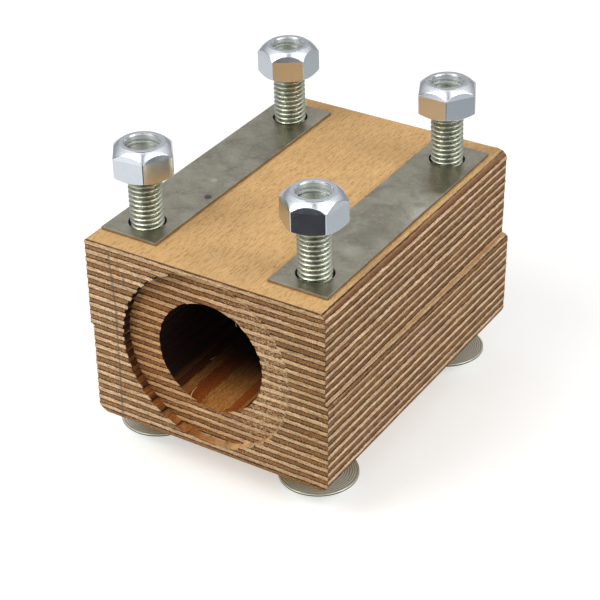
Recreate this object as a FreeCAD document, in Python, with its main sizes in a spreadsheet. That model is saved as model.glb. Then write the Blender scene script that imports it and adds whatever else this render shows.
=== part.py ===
# Split plain bearing of laminated beech for the crank shaft of a straw walker.
# Two half blocks meet on the shaft's centre plane. Square-neck bolts come up through both halves and
# through two thin steel strips, and carry conical lock nuts near their ends.
# Frame, in millimetres: origin on the bore axis at mid length, X to the right across the block,
# Y along the bore towards the back, Z up. The split plane of the block is Z = 0.

import FreeCAD
import Part
import Sketcher
import os

# Driving dimensions, in millimetres and degrees
SIZES = {
    # Wooden block
    "block_width": 79.6,
    "block_length": 110,
    "upper_height": 29,
    "lower_height": 30,
    "lower_set_over": 0.9,
    "lower_back_offset": 1.2,
    "bore_diameter": 35,
    "recess_diameter": 56,
    "recess_depth": 3,
    "top_left_round": 1,
    "top_right_round": 3,
    "bottom_round": 3,
    "split_left_round": 1.2,
    "split_right_bevel": 1,
    # Bolt pattern, set a little to the left of the bore axis
    "bolt_side_distance": 11.8,
    "bolt_end_distance": 16,
    "bolt_row_offset": 1,
    "bolt_hole_clearance": 1,
    # The halves lie out of line, so each bolt leans to the left towards its nut
    "front_left_bolt_lean": 0.6,
    "front_right_bolt_lean": 0.9,
    "back_left_bolt_lean": 1.3,
    "back_right_bolt_lean": 2.2,
    # Steel strips
    "strip_width": 19,
    "strip_past_bolt": 9.5,
    "strip_thickness": 1,
    "strip_hole_clearance": 0.5,
    # Bolts, measured from under the head
    "bolt_diameter": 10,
    "bolt_length": 90,
    "bolt_point_bevel": 0.8,
    "neck_height": 7,
    "head_diameter": 24,
    "head_height": 5,
    "head_rim": 1.2,
    # Lock nuts
    "nut_wall": 3.4,
    "nut_height": 9.6,
    "nut_corner_height": 6.7,
    "nut_ring": 0.95,
    "nut_foot_inset": 0.25,
    "nut_foot_height": 0.9,
    "nut_mouth_bevel": 0.3,
    "nut_clearance": 0.05,
    "front_left_nut_stand_out": 2.4,
    "front_right_nut_stand_out": 2.6,
    "back_left_nut_stand_out": 2.3,
    "back_right_nut_stand_out": 3,
    "front_left_nut_turn": 5,
    "front_right_nut_turn": 20,
    "back_left_nut_turn": 30,
    "back_right_nut_turn": 55.5,
}

# Places that several pieces share, as formulas of the sheet
FRONT_Y = "-Sizes.block_length / 2"
BACK_Y = "Sizes.block_length / 2"
WOOD_HOLE = "(Sizes.bolt_diameter + 2 * Sizes.bolt_hole_clearance)"
STRIP_HOLE = "(Sizes.bolt_diameter + 2 * Sizes.strip_hole_clearance)"
BOLT_RADIUS = "Sizes.bolt_diameter / 2"
COLUMN_X = {
    "left": "Sizes.bolt_side_distance - Sizes.block_width / 2 - Sizes.bolt_row_offset",
    "right": "Sizes.block_width / 2 - Sizes.bolt_side_distance - Sizes.bolt_row_offset",
}
ROW_Y = {
    "front": f"{FRONT_Y} + Sizes.bolt_end_distance",
    "back": f"{BACK_Y} - Sizes.bolt_end_distance",
}
STRIP_TOP_Z = "(Sizes.upper_height + Sizes.strip_thickness)"
NUT_FLATS = "(Sizes.bolt_diameter + 2 * Sizes.nut_wall)"
NUT_CORNER_RADIUS = f"({NUT_FLATS} / 2 / cos(30))"
NUT_RING_RADIUS = f"({BOLT_RADIUS} + Sizes.nut_mouth_bevel + Sizes.nut_ring)"
NUT_FOOT_RADIUS = f"({NUT_FLATS} / 2 - Sizes.nut_foot_inset)"

# How far a cutting profile reaches past what it cuts
CUT_MARGIN = 1.0
# Straight steps in which the dome of a bolt head is turned
DOME_STEPS = 3
# How close an edge has to lie to the line it is looked for on
EDGE_TOLERANCE = 1e-6
ORIGIN = (-1, 1)
START, END, CENTRE = 1, 2, 3

doc = FreeCAD.newDocument("straw_walker_bearing")
sheet = doc.addObject("Spreadsheet::Sheet", "Sizes")
for row, (alias, size) in enumerate(SIZES.items(), start=1):
    sheet.set(f"A{row}", alias)
    sheet.set(f"B{row}", str(size))
    sheet.setAlias(f"B{row}", alias)
doc.recompute()


def value(formula):
    return float(sheet.evalExpression(formula))


def new_body(label, place):
    body = doc.addObject("PartDesign::Body", label)
    body.Label = label
    for axis, formula in place.items():
        body.setExpression(f"Placement.Base.{axis}", formula)
    return body


def lean_of(row, column):
    return f"Sizes.{row}_{column}_bolt_lean"


def head_reach(row, column):
    # From the strip's top down the bolt's axis to the seat under its head, the high side of the
    # leaning neck bearing on the underside of the block
    lean = lean_of(row, column)
    drop = f"({STRIP_TOP_Z} + Sizes.lower_height + {BOLT_RADIUS} * sin({lean}))"
    return f"({drop} / cos({lean}) + Sizes.neck_height)"


def on_bolt(label, row, column, reach):
    # A body whose local Z axis is a bolt's axis. The bolt crosses the strip's top in its proper place,
    # and the body's origin lies that reach above it
    lean = lean_of(row, column)
    body = new_body(label, {
        "x": f"{COLUMN_X[column]} - {reach} * sin({lean})",
        "y": ROW_Y[row],
        "z": f"{STRIP_TOP_Z} + {reach} * cos({lean})",
    })
    body.Placement.Rotation = FreeCAD.Rotation(FreeCAD.Vector(0, 1, 0), -value(lean))
    body.setExpression("Placement.Rotation.Angle", f"-{lean}")
    return body


def attach(feature, body, role):
    plane = next(item for item in body.Origin.OriginFeatures if item.Role == role)
    feature.AttachmentSupport = [(plane, "")]
    feature.MapMode = "FlatFace"


def new_sketch(body, name, role, lift=None):
    sketch = body.newObject("Sketcher::SketchObject", name)
    attach(sketch, body, role)
    if lift:
        sketch.setExpression("AttachmentOffset.Base.z", lift)
    return sketch


def bind(sketch, constraint, formula):
    index = sketch.addConstraint(constraint)
    sketch.setExpression(f"Constraints[{index}]", formula)


def set_point(sketch, geometry, end, across, up):
    # Ties a point to formulas of its sketch coordinates, an empty one meaning the axis itself
    for kind, axis, formula in (("DistanceX", -2, across), ("DistanceY", -1, up)):
        if not formula:
            sketch.addConstraint(Sketcher.Constraint("PointOnObject", geometry, end, axis))
        elif value(formula) < 0:
            bind(sketch, Sketcher.Constraint(kind, geometry, end, *ORIGIN, -value(formula)), f"-({formula})")
        else:
            bind(sketch, Sketcher.Constraint(kind, *ORIGIN, geometry, end, value(formula)), formula)


def point(corner):
    across, up = (value(formula) if formula else 0.0 for formula in corner)
    return FreeCAD.Vector(across, up, 0)


def draw_outline(sketch, corners):
    # Straight sides through the corners, each corner tied to its formulas
    count = len(corners)
    first = sketch.GeometryCount
    for index, corner in enumerate(corners):
        follower = corners[(index + 1) % count]
        sketch.addGeometry(Part.LineSegment(point(corner), point(follower)), False)
    for index, corner in enumerate(corners):
        previous = first + (index - 1) % count
        sketch.addConstraint(Sketcher.Constraint("Coincident", previous, END, first + index, START))
        set_point(sketch, first + index, START, *corner)


def draw_circle(sketch, across, up, diameter):
    circle = Part.Circle(point((across, up)), FreeCAD.Vector(0, 0, 1), value(diameter) / 2)
    geometry = sketch.addGeometry(circle, False)
    bind(sketch, Sketcher.Constraint("Diameter", geometry, value(diameter)), diameter)
    if across or up:
        set_point(sketch, geometry, CENTRE, across, up)
    else:
        sketch.addConstraint(Sketcher.Constraint("Coincident", geometry, CENTRE, *ORIGIN))


def add_feature(body, kind, name, sketch, **settings):
    feature = body.newObject(f"PartDesign::{kind}", name)
    feature.Profile = sketch
    for setting, content in settings.items():
        setattr(feature, setting, content)
    return feature


def cut_through(body, name, sketch):
    add_feature(body, "Pocket", name, sketch, Type="ThroughAll", SideType="Symmetric")


def spin_axis(sketch):
    return (sketch, ["V_Axis"])


def ease_edge(body, kind, name, size, wanted):
    # A fillet or chamfer along the edges whose middle point the test accepts
    doc.recompute()
    base = body.Tip
    names = []
    for index, edge in enumerate(base.Shape.Edges, start=1):
        middle = edge.valueAt((edge.FirstParameter + edge.LastParameter) / 2)
        if wanted(edge, middle):
            names.append(f"Edge{index}")
    if not names:
        raise RuntimeError(f"{body.Label}: no edge found for {name}")
    feature = body.newObject(f"PartDesign::{kind}", name)
    feature.Base = (base, names)
    feature.setExpression("Radius" if kind == "Fillet" else "Size", size)
    body.Tip = feature


def long_edge(across, up):
    # Accepts the edge along the bore at that corner of the block's section
    def wanted(edge, middle):
        straight = isinstance(edge.Curve, (Part.Line, Part.LineSegment))
        off_line = abs(middle.x - value(across)) + abs(middle.z - value(up)) + abs(middle.y)
        return straight and off_line < EDGE_TOLERANCE
    return wanted


def half_block(label, left, right, lean, height, middle, **direction):
    # A sawn half block with its half of the bore, of the front recess and of the bolt holes
    body = new_body(label, {})
    plan = new_sketch(body, f"{label}_plan", "XY_Plane")
    draw_outline(plan, [
        (left, FRONT_Y),
        (right, FRONT_Y),
        (f"{right} + {lean}", BACK_Y),
        (f"{left} + {lean}", BACK_Y),
    ])
    pad = add_feature(body, "Pad", f"{label}_block", plan, **direction)
    pad.setExpression("Length", height)

    bore = new_sketch(body, f"{label}_bore_circle", "XZ_Plane")
    draw_circle(bore, "", "", "Sizes.bore_diameter")
    cut_through(body, f"{label}_bore", bore)

    # The XZ plane's normal points to the front, so the recess sketch stands on the front face
    recess = new_sketch(body, f"{label}_recess_circle", "XZ_Plane", BACK_Y)
    draw_circle(recess, "", "", "Sizes.recess_diameter")
    pocket = add_feature(body, "Pocket", f"{label}_recess", recess)
    pocket.setExpression("Length", "Sizes.recess_depth")

    holes = new_sketch(body, f"{label}_hole_circles", "XY_Plane")
    for column, across in COLUMN_X.items():
        for row, along in ROW_Y.items():
            # The bolt's own axis at mid height of the half
            shift = f"({STRIP_TOP_Z} - {middle}) * tan({lean_of(row, column)})"
            draw_circle(holes, f"{across} + {shift}", along, WOOD_HOLE)
    cut_through(body, f"{label}_bolt_holes", holes)
    return body


def upper_half():
    left, right, top = "-Sizes.block_width / 2", "Sizes.block_width / 2", "Sizes.upper_height"
    body = half_block("upper_half", left, right, "0", top, f"{top} / 2")
    ease_edge(body, "Fillet", "top_left_edge", "Sizes.top_left_round", long_edge(left, top))
    ease_edge(body, "Fillet", "top_right_edge", "Sizes.top_right_round", long_edge(right, top))
    ease_edge(body, "Fillet", "split_left_edge", "Sizes.split_left_round", long_edge(left, "0"))
    return body


def lower_half():
    # It lies a little to the right under the upper half, and more so towards the back
    left = "Sizes.lower_set_over - Sizes.block_width / 2"
    right = "Sizes.lower_set_over + Sizes.block_width / 2"
    lean, bottom = "Sizes.lower_back_offset", "-Sizes.lower_height"
    middle = f"({bottom} / 2)"
    body = half_block("lower_half", left, right, lean, "Sizes.lower_height", middle, Reversed=True)
    mid_left, mid_right = f"{left} + {lean} / 2", f"{right} + {lean} / 2"
    ease_edge(body, "Fillet", "bottom_left_edge", "Sizes.bottom_round", long_edge(mid_left, bottom))
    ease_edge(body, "Fillet", "bottom_right_edge", "Sizes.bottom_round", long_edge(mid_right, bottom))
    ease_edge(body, "Chamfer", "split_right_edge", "Sizes.split_right_bevel", long_edge(mid_right, "0"))
    return body


def strip(side):
    # A square-cut strip that lies on the upper half and takes two bolts
    body = new_body(f"{side}_strip", {"x": COLUMN_X[side], "z": "Sizes.upper_height"})
    half_width = "Sizes.strip_width / 2"
    near, far = f"{ROW_Y['front']} - Sizes.strip_past_bolt", f"{ROW_Y['back']} + Sizes.strip_past_bolt"
    outline = new_sketch(body, f"{side}_strip_outline", "XY_Plane")
    draw_outline(outline, [
        (f"-{half_width}", near),
        (half_width, near),
        (half_width, far),
        (f"-{half_width}", far),
    ])
    plate = add_feature(body, "Pad", f"{side}_strip_plate", outline)
    plate.setExpression("Length", "Sizes.strip_thickness")
    holes = new_sketch(body, f"{side}_strip_circles", "XY_Plane")
    for along in ROW_Y.values():
        draw_circle(holes, "", along, STRIP_HOLE)
    cut_through(body, f"{side}_strip_holes", holes)
    return body


def bolt(row, column):
    # Turned head and shank with a square neck, local Z = 0 being the seat under the head
    label = f"{row}_{column}_bolt"
    body = on_bolt(label, row, column, f"(-{head_reach(row, column)})")
    head_radius = "Sizes.head_diameter / 2"
    shoulder = "Sizes.bolt_length - Sizes.bolt_point_bevel"
    corners = [
        (head_radius, ""),
        (BOLT_RADIUS, ""),
        (BOLT_RADIUS, shoulder),
        (f"{BOLT_RADIUS} - Sizes.bolt_point_bevel", "Sizes.bolt_length"),
        ("", "Sizes.bolt_length"),
        ("", "-Sizes.head_height"),
    ]
    # The dome is part of a ball that meets the rim, turned from the crown outwards
    rise = "(Sizes.head_height - Sizes.head_rim)"
    ball = f"(({head_radius})^2 + {rise}^2) / (2 * {rise})"
    spread = f"asin({head_radius} / ({ball}))"
    for step in range(1, DOME_STEPS):
        turn = f"({spread} * {step} / {DOME_STEPS})"
        corners.append((f"({ball}) * sin({turn})", f"({ball}) * (1 - cos({turn})) - Sizes.head_height"))
    corners.append((head_radius, "-Sizes.head_rim"))
    profile = new_sketch(body, f"{label}_profile", "XZ_Plane")
    draw_outline(profile, corners)
    add_feature(body, "Revolution", f"{label}_turned", profile, ReferenceAxis=spin_axis(profile))

    half_neck = BOLT_RADIUS
    square = new_sketch(body, f"{label}_neck_square", "XY_Plane")
    draw_outline(square, [
        (f"-{half_neck}", f"-{half_neck}"),
        (half_neck, f"-{half_neck}"),
        (half_neck, half_neck),
        (f"-{half_neck}", half_neck),
    ])
    neck = add_feature(body, "Pad", f"{label}_neck", square)
    neck.setExpression("Length", "Sizes.neck_height")
    return body


def nut(row, column):
    # Hexagon with a conical top that ends in a narrow ring, local Z = 0 being its seat
    label = f"{row}_{column}_nut"
    past_end = f"Sizes.{label}_stand_out - Sizes.nut_height"
    body = on_bolt(label, row, column, f"(Sizes.bolt_length - {head_reach(row, column)} + {past_end})")
    prism = body.newObject("PartDesign::AdditivePrism", f"{label}_hexagon")
    attach(prism, body, "XY_Plane")
    prism.setExpression("AttachmentOffset.Rotation.Angle", f"Sizes.{label}_turn")
    prism.setExpression("Circumradius", NUT_CORNER_RADIUS)
    prism.setExpression("Height", "Sizes.nut_height")

    past_corner = f"({NUT_CORNER_RADIUS} + {CUT_MARGIN})"
    cone = new_sketch(body, f"{label}_cone_profile", "XZ_Plane")
    draw_outline(cone, [
        (NUT_CORNER_RADIUS, "Sizes.nut_corner_height"),
        (past_corner, "Sizes.nut_corner_height"),
        (past_corner, "Sizes.nut_height"),
        (NUT_RING_RADIUS, "Sizes.nut_height"),
    ])
    add_feature(body, "Groove", f"{label}_cone", cone, ReferenceAxis=spin_axis(cone))

    foot = new_sketch(body, f"{label}_foot_profile", "XZ_Plane")
    draw_outline(foot, [
        (NUT_FOOT_RADIUS, ""),
        (past_corner, ""),
        (past_corner, "Sizes.nut_foot_height"),
        (NUT_CORNER_RADIUS, "Sizes.nut_foot_height"),
    ])
    add_feature(body, "Groove", f"{label}_foot", foot, ReferenceAxis=spin_axis(foot))

    hole = new_sketch(body, f"{label}_hole_circle", "XY_Plane")
    draw_circle(hole, "", "", "(Sizes.bolt_diameter + 2 * Sizes.nut_clearance)")
    cut_through(body, f"{label}_hole", hole)

    bore = value(f"{BOLT_RADIUS} + Sizes.nut_clearance")

    def mouth(edge, middle):
        return isinstance(edge.Curve, Part.Circle) and abs(edge.Curve.Radius - bore) < EDGE_TOLERANCE
    ease_edge(body, "Chamfer", f"{label}_mouths", "Sizes.nut_mouth_bevel - Sizes.nut_clearance", mouth)
    return body


pieces = [upper_half(), lower_half()]
pieces += [strip(side) for side in COLUMN_X]
pieces += [bolt(row, column) for row in ROW_Y for column in COLUMN_X]
pieces += [nut(row, column) for row in ROW_Y for column in COLUMN_X]
doc.recompute()

for item in doc.Objects:
    if "Invalid" in item.State or "Error" in item.State:
        raise RuntimeError(f"{item.Name} failed to build: {item.State}")
os.makedirs("parts", exist_ok=True)
for piece in pieces:
    shape = piece.Shape
    if shape.isNull() or not shape.isValid() or len(shape.Solids) != 1:
        raise RuntimeError(f"{piece.Label} is not one valid solid")
    shape.exportStep(f"parts/{piece.Label}.step")
    print(f"{piece.Label}: {shape.Volume:.1f} cubic mm, {len(shape.Faces)} faces")
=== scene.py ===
import bisect
import math
import random
from functools import partial

import bmesh
import bpy
from mathutils import Matrix, Vector, noise


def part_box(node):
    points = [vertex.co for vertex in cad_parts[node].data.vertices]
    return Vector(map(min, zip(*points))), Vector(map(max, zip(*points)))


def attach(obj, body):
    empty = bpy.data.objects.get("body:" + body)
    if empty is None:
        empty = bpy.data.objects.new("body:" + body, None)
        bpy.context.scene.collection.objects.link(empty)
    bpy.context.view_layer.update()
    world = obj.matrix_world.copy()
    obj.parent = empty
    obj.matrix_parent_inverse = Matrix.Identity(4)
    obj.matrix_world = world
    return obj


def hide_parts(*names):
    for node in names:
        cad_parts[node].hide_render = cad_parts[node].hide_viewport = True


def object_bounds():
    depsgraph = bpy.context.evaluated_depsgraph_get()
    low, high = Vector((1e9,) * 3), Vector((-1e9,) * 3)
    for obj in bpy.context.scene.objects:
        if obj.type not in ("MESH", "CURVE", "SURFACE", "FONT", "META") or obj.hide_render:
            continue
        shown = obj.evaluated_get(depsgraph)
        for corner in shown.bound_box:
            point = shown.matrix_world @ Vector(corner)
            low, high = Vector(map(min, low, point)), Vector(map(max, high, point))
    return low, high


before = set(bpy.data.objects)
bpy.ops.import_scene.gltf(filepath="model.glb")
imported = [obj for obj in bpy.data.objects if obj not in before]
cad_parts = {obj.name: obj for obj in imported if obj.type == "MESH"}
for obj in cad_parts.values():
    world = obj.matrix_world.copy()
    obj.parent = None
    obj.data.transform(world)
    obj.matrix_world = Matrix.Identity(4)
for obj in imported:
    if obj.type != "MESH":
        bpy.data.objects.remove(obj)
cadBox = [list(corner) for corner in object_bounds()]
mm = 0.001  # the frame is in metres, the sizes below are in millimetres
mergeGap = 0.001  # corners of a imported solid's triangles that are this close are one
white = "#ffffff"
scene = bpy.context.scene
print("frame loaded with", len(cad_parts), "nodes")

# Kinds of node by short names: Blender's type, settings, sockets in the order of their values, output
nodeKinds = {
    "coordinates": ("ShaderNodeTexCoord", {}, (), "Object"),
    "attribute": ("ShaderNodeAttribute", {}, (), "Fac"),
    "lightPath": ("ShaderNodeLightPath", {}, (), 0),
    "noise": ("ShaderNodeTexNoise", {}, ("Vector", "Scale", "Detail", "Roughness", "Distortion"), 0),
    "whiteNoise": ("ShaderNodeTexWhiteNoise", {"noise_dimensions": "1D"}, ("W",), 0),
    "split": ("ShaderNodeSeparateXYZ", {}, (0,), 0),
    "combine": ("ShaderNodeCombineXYZ", {}, (0, 1, 2), 0),
    "range": ("ShaderNodeMapRange", {}, ("Value", "From Min", "From Max", "To Min", "To Max"), 0),
    "between": ("ShaderNodeMapRange", {}, ("Value", "To Min", "To Max"), 0),
    "smoothRange": ("ShaderNodeMapRange", {"interpolation_type": "SMOOTHSTEP"},
                    ("Value", "From Min", "From Max"), 0),
    "mix": ("ShaderNodeMix", {}, (0, 2, 3), 0),
    "mixVector": ("ShaderNodeMix", {"data_type": "VECTOR"}, (0, 4, 5), 1),
    "mixColor": ("ShaderNodeMix", {"data_type": "RGBA"}, (0, 6, 7), 2),
    "bump": ("ShaderNodeBump", {}, ("Strength", "Distance", "Height"), 0),
    "scaleVector": ("ShaderNodeVectorMath", {"operation": "SCALE"}, (0, "Scale"), 0),
    "absoluteVector": ("ShaderNodeVectorMath", {"operation": "ABSOLUTE"}, (0,), 0),
    "multiplyVector": ("ShaderNodeVectorMath", {"operation": "MULTIPLY"}, (0, 1), 0),
    "stretchVector": ("ShaderNodeVectorMath", {"operation": "MULTIPLY_ADD"}, (0, 1, 2), 0),
    "distance": ("ShaderNodeVectorMath", {"operation": "DISTANCE"}, (0, 1), 1),
    "dotProduct": ("ShaderNodeVectorMath", {"operation": "DOT_PRODUCT"}, (0, 1), 1),
    "groupInput": ("NodeGroupInput", {}, (), 0),
    "groupOutput": ("NodeGroupOutput", {}, (0,), 0),
    "position": ("GeometryNodeInputPosition", {}, (), 0),
    "cylinder": ("GeometryNodeMeshCylinder", {}, ("Vertices", "Side Segments", "Radius", "Depth"), 0),
    "storeFloat": ("GeometryNodeStoreNamedAttribute", {"data_type": "FLOAT", "domain": "POINT"},
                   ("Geometry", "Name", "Value"), 0),
    "setPosition": ("GeometryNodeSetPosition", {}, ("Geometry", "Position"), 0),
    "join": ("GeometryNodeJoinGeometry", {}, (0,), 0),
    "realize": ("GeometryNodeRealizeInstances", {}, (0,), 0),
    "setMaterial": ("GeometryNodeSetMaterial", {}, ("Geometry", "Material"), 0),
    "bezier": ("GeometryNodeCurveQuadraticBezier", {}, ("Resolution", "Start", "Middle", "End"), 0),
    "circle": ("GeometryNodeCurvePrimitiveCircle", {}, ("Resolution", "Radius"), 0),
    "sweep": ("GeometryNodeCurveToMesh", {}, ("Curve", "Profile Curve", "Fill Caps"), 0),
    "namedFloat": ("GeometryNodeInputNamedAttribute", {"data_type": "FLOAT"}, ("Name",), 0),
    "scatter": ("GeometryNodeDistributePointsOnFaces", {}, ("Mesh", "Density", "Seed"), 0),
    "randomVector": ("FunctionNodeRandomValue", {"data_type": "FLOAT_VECTOR"}, (0, 1, "Seed"), 0),
    "instances": ("GeometryNodeInstanceOnPoints", {}, ("Points", "Instance", "Rotation"), 0),
}
for operation in ("ADD", "SUBTRACT", "MULTIPLY", "MULTIPLY_ADD", "DIVIDE", "MINIMUM", "MAXIMUM", "ABSOLUTE",
                  "FLOOR", "MODULO", "PINGPONG", "COMPARE", "LESS_THAN", "GREATER_THAN", "ARCTAN2"):
    nodeKinds[operation] = ("ShaderNodeMath", {"operation": operation}, (0, 1, 2), 0)


def toLinear(code):
    # sRGB hex to the linear colour that a socket takes
    parts = [int(code[i:i + 2], 16) / 255 for i in (1, 3, 5)]
    return [p / 12.92 if p <= 0.04045 else ((p + 0.055) / 1.055) ** 2.4 for p in parts] + [1.0]


def setInputs(tree, node, inputs):
    # links each socket or sets its value; hex colours are turned to linear
    for key, value in inputs.items():
        if isinstance(value, bpy.types.NodeSocket):
            tree.links.new(value, node.inputs[key])
        else:
            isHex = isinstance(value, str) and value.startswith("#")
            node.inputs[key].default_value = toLinear(value) if isHex else value


def addNode(tree, kind, *values, out=None, **more):
    # one node with its settings, values and links; gives back the output asked for
    nodeType, settings, sockets, output = nodeKinds[kind]
    node = tree.nodes.new(nodeType)
    for key, value in {**settings, **more}.items():
        setattr(node, key, value)
    setInputs(tree, node, dict(zip(sockets, values)))
    if not len(node.outputs):
        return node
    return node.outputs[output if out is None else out]


def newMaterial(name):
    # the material, and its ways to add a node and to set the shader's sockets
    material = bpy.data.materials.new(name)
    material.use_nodes = True
    tree = material.node_tree
    return material, partial(addNode, tree), partial(setInputs, tree, tree.nodes["Principled BSDF"])


def addObject(name, data, material=None):
    thing = bpy.data.objects.new(name, data)
    scene.collection.objects.link(thing)
    if material:
        data.materials.clear()
        data.materials.append(material)
    return thing


def shadeSmooth(mesh, sharpAngle):
    mesh.shade_smooth()
    mesh.set_sharp_from_angle(angle=math.radians(sharpAngle))


def meshFrom(bm, name, sharpAngle):
    mesh = bpy.data.meshes.new(name)
    bm.to_mesh(mesh)
    bm.free()
    shadeSmooth(mesh, sharpAngle)
    return mesh


def packedCopy(node):
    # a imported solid's loose triangles, merged
    bm = bmesh.new()
    bm.from_mesh(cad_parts[node].data)
    bmesh.ops.remove_doubles(bm, verts=bm.verts, dist=mergeGap * mm)
    return bm


def newTree(name, sizes, counts):
    # a geometry node tree with named inputs
    tree = bpy.data.node_groups.new(name, "GeometryNodeTree")
    rows = [("Geometry", "INPUT", "Geometry")]
    rows += [(label, "INPUT", "Float") for label in sizes]
    rows += [(label, "INPUT", "Int") for label in counts]
    rows += [("Finish", "INPUT", "Material"), ("Geometry", "OUTPUT", "Geometry")]
    for label, side, kind in rows:
        tree.interface.new_socket(label, in_out=side, socket_type="NodeSocket" + kind)
    add = partial(addNode, tree)
    return tree, add, add("groupInput").node.outputs


def closeTree(add, geometry, finish):
    # every tree ends in real geometry with its finish
    real = add("realize", geometry)
    add("groupOutput", add("setMaterial", real, finish))


def bakeNodes(piece, tree, values, sharpAngle):
    # runs a geometry node tree on the piece and keeps its result as a plain mesh
    modifier = piece.modifiers.new(tree.name, "NODES")
    modifier.node_group = tree
    sockets = {item.name: item.identifier for item in tree.interface.items_tree if item.in_out == "INPUT"}
    for name, value in values.items():
        modifier[sockets[name]] = value
    evaluated = piece.evaluated_get(bpy.context.evaluated_depsgraph_get())
    mesh = bpy.data.meshes.new_from_object(evaluated)
    piece.modifiers.remove(modifier)
    piece.data = mesh
    if mesh.materials[0] is None:
        mesh.materials.pop(index=0)  # left empty by the bare geometry inside the tree
    shadeSmooth(mesh, sharpAngle)


def addRings(bm, rings, capEnds, joinEnds=False):
    # a shell through rings of points, each ring closed on itself
    rows = [[bm.verts.new(p) for p in ring] for ring in rings]
    if joinEnds:
        rows.append(rows[0])
    count = len(rows[0])
    for low, high in zip(rows, rows[1:]):
        for i in range(count):
            j = (i + 1) % count
            bm.faces.new((low[i], low[j], high[j], high[i]))
    if capEnds:
        bm.faces.new(rows[0][::-1])
        bm.faces.new(rows[-1])


def settle(piece, body, slotName, *nodes):
    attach(piece, body)
    if nodes:
        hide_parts(*nodes)


# Laminated beech: rotary-cut veneers, every other one turned, glued with a dark resin, sawn and oiled.
# Long grain shows pale and streaked, cut ends brown and speckled, and the glue as dark broken lines.
beech = {
    "longPale": "#f8ddb8", "longDeep": "#bf9362", "facePale": "#e6bd84", "faceDeep": "#d1a56b",
    "frontEndPale": "#b68a5a", "frontEndDeep": "#7c5030", "sideEndPale": "#9c7148", "sideEndDeep": "#6c4628",
    "pore": "#a87848", "redEnd": "#8a5a3c", "glue": "#2b1407",
    # painted shade: the first tint on this line, high in the bore and away from its mouths; the two scorch
    # tints on the next line, scorch that is partly painted shade; and the front's tint after them, darker
    # towards the right
    "boreShade": "#32190f", "boreAlong": "#d8ac70", "boreAcross": "#b87238",
    "scorchShade": "#633a1a", "scorchShadePale": "#c09a6c", "frontShade": "#e4decd", "floorOil": "#e8d2b2",
    "fleck": "#e6cfa2", "pencil": "#57524e", "pit": "#2a1a10",
    "fibre": (0.3, 7.0, 2.5),  # width, run, detail: a bundle of fibres, coarser than one so that it shows
    "dash": (0.2, 2.2, 1.0),  # the same: beech rays, cut as short dashes
    "grainRoughness": 0.62, "grainShift": (13.0, 29.0, 7.0),
    "speck": (0.5, 2.5, 0.28), "speckDetail": 2.0,  # cut vessels, coarser than they are so that they show
    "noises": {  # size and detail
        "wave": (5.0, 2.0), "fray": (0.45, 2.0), "patch": (9.0, 2.0), "grit": (0.4, 1.0), "ooze": (2.5, 2.0)},
    "fleckSize": 0.7, "fleckNoise": (2.0, 0.5, 0.4),  # detail, roughness and distortion
    "waveShift": 0.26, "frayShift": 0.38,  # shifts of a seam, in plies
    "veneerDepth": (0.2, 0.9), "patchDepth": (0.3, 0.85),  # how far the colour varies, and its least
    "redFrom": 118.5, "redShare": 0.8,  # the two veneers at the top of the block are redder at their ends
    "glueCore": 0.55,  # the solid middle of a glue line
    "boreGlue": 0.4, "wallGlue": 0.95, "lyingGlue": 0.2,  # what is left of the glue on bored and flat faces
    "ranges": {  # from and to, then the results there if they aren't 0 and 1
        "end": (0.3, 0.85), "lying": (0.6, 0.95), "sideways": (0.3, 0.8),  # turns of a face
        "streak": (0.3, 0.7), "pore": (0.56, 0.62, 0.0, 0.7), "speckle": (0.38, 0.62),  # depths of a noise
        "grit": (0.3, 0.7, 0.72, 1.26), "broken": (0.3, 0.6, 0.75, 1.0), "fleck": (0.53, 0.64, 0.0, 0.55),
        "glue": (0.3, 0.7, 0.09, 0.21),  # gives half of a glue line, in plies
        "boreLow": (-11.0, -16.5), "mouth": (22.0, 50.0),  # from here on places in mm
        "burnt": (9.0, -5.0), "burntHigh": (-20.0, 2.0),
        "soaked": (24.0, -24.0, 0.2), "rightward": (-40.0, 40.0), "torn": (4.0, 18.0), "pit": (0.6, 0.3)},
    "frontY": -54.0,
    "pencilLines": (  # x at mid-height, slope, lowest and highest z
        (-29.48, -0.078, 8.0, 26.5), (-30.17, 0.006, -30.0, 8.0), (-25.3, -0.073, 17.6, 21.7)),
    "pencilWidth": 1.1, "pencilShare": 0.58, "pitPlace": (37.1, -55.0, -5.5),
    "roughness": (0.6, 0.82), "bump": 0.4, "bumpDepth": 0.08, "ior": 1.5, "specular": 0.3,
}


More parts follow.
